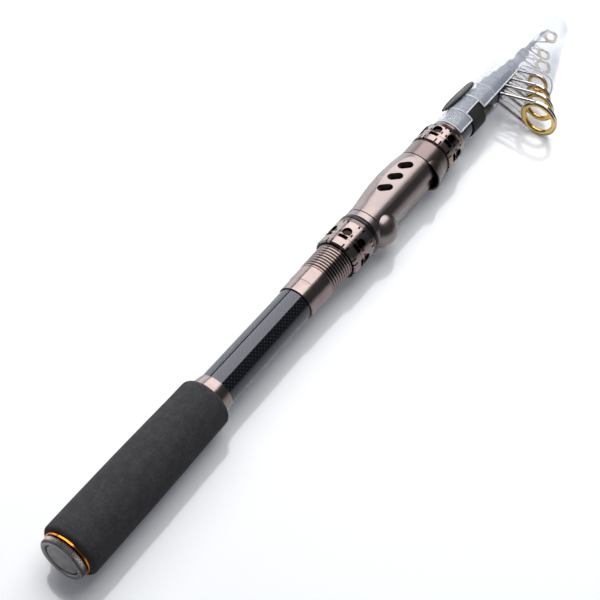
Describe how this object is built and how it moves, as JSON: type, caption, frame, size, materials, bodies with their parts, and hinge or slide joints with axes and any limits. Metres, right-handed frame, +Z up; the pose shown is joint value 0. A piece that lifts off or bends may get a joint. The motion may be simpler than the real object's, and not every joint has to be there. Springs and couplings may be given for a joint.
{
  "type": "telescopic fishing rod",
  "caption": "Collapsed telescopic fishing rod with foam grip, screw-lock reel seat, nested carbon sections, wire-framed gold guides and a clear slip-on tip cover.",
  "frame": {"origin": "centre of the butt cap's end, on the rod's axis", "axes": "+X along the rod to the tip, +Z up as it lies, line guides towards -Y and a little down"},
  "size_m": [0.4466, 0.0593, 0.031],
  "materials": {
    "seat_metal": "polished rose gunmetal",
    "gold": "polished",
    "foam": "matte foam",
    "carbon": "clear-coated weave",
    "smoke": "smoky chrome",
    "rubber": "satin",
    "webbing": "woven",
    "clear": "clear",
    "insert": "plain"
  },
  "bodies": {
    "handle": {"butt_insert": "insert", "trim_ring": "gold", "foam_grip": "foam", "grip_collar": "seat_metal", "butt_section": "carbon", "seat_tube": "seat_metal", "seat_body": "seat_metal", "fixed_hood": "seat_metal", "upper_ring": "seat_metal", "fixed_crown": "seat_metal", "front_check": "seat_metal", "cover_strap": "webbing"},
    "cap_slide": {"cap_disc": "seat_metal"},
    "cap_turn": {"butt_cap": "seat_metal", "cap_damper": "rubber"},
    "hood": {"slide_hood": "seat_metal", "seat_oring": "rubber"},
    "nut": {"lock_nut": "seat_metal", "lock_ring": "seat_metal"},
    "part_2": {"section_2": "carbon", "guide_frame_1": "smoke", "guide_ring_1": "gold"},
    "part_3": {"section_3": "carbon", "guide_frame_2": "smoke", "guide_ring_2": "gold"},
    "part_4": {"section_4": "carbon", "guide_frame_3": "smoke", "guide_ring_3": "gold"},
    "part_5": {"section_5": "carbon", "guide_frame_4": "smoke", "guide_ring_4": "gold"},
    "part_6": {"section_6": "carbon", "guide_frame_5": "smoke", "guide_ring_5": "gold"},
    "tip": {"tip_section": "carbon", "guide_frame_6": "smoke", "guide_ring_6": "gold", "tip_frame": "smoke", "tip_ring": "gold"},
    "cover": {"tip_cover": "clear"}
  },
  "joints": [
    {"name": "draw_part_2", "type": "slide", "parent": "handle", "child": "part_2", "axis": [1, 0, 0], "range_m": [0, 0.3117]},
    {"name": "draw_part_3", "type": "slide", "parent": "part_2", "child": "part_3", "axis": [1, 0, 0], "range_m": [0, 0.3256]},
    {"name": "draw_part_4", "type": "slide", "parent": "part_3", "child": "part_4", "axis": [1, 0, 0], "range_m": [0, 0.3332]},
    {"name": "draw_part_5", "type": "slide", "parent": "part_4", "child": "part_5", "axis": [1, 0, 0], "range_m": [0, 0.34]},
    {"name": "draw_part_6", "type": "slide", "parent": "part_5", "child": "part_6", "axis": [1, 0, 0], "range_m": [0, 0.348]},
    {"name": "draw_tip", "type": "slide", "parent": "part_6", "child": "tip", "axis": [1, 0, 0], "range_m": [0, 0.3616]},
    {"name": "cover_off", "type": "slide", "parent": "tip", "child": "cover", "axis": [1, 0, 0], "range_m": [0, 0.12]},
    {"name": "hood_slide", "type": "slide", "parent": "handle", "child": "hood", "axis": [-1, 0, 0], "range_m": [0, 0.0158]},
    {"name": "nut_turn", "type": "hinge", "parent": "hood", "child": "nut", "pos_m": [0.232, 0, 0], "axis": [-1, 0, 0], "continuous": true},
    {"name": "cap_out", "type": "slide", "parent": "handle", "child": "cap_slide", "axis": [-1, 0, 0], "range_m": [0, 0.013]},
    {"name": "cap_screw", "type": "hinge", "parent": "cap_slide", "child": "cap_turn", "pos_m": [0.002, 0, 0], "axis": [-1, 0, 0], "continuous": true}
  ],
  "couplings": [
    {"joint": "nut_turn", "follows": "hood_slide", "rad_per_m": 3396.3},
    {"joint": "cap_screw", "follows": "cap_out", "rad_per_m": 3141.6}
  ]
}
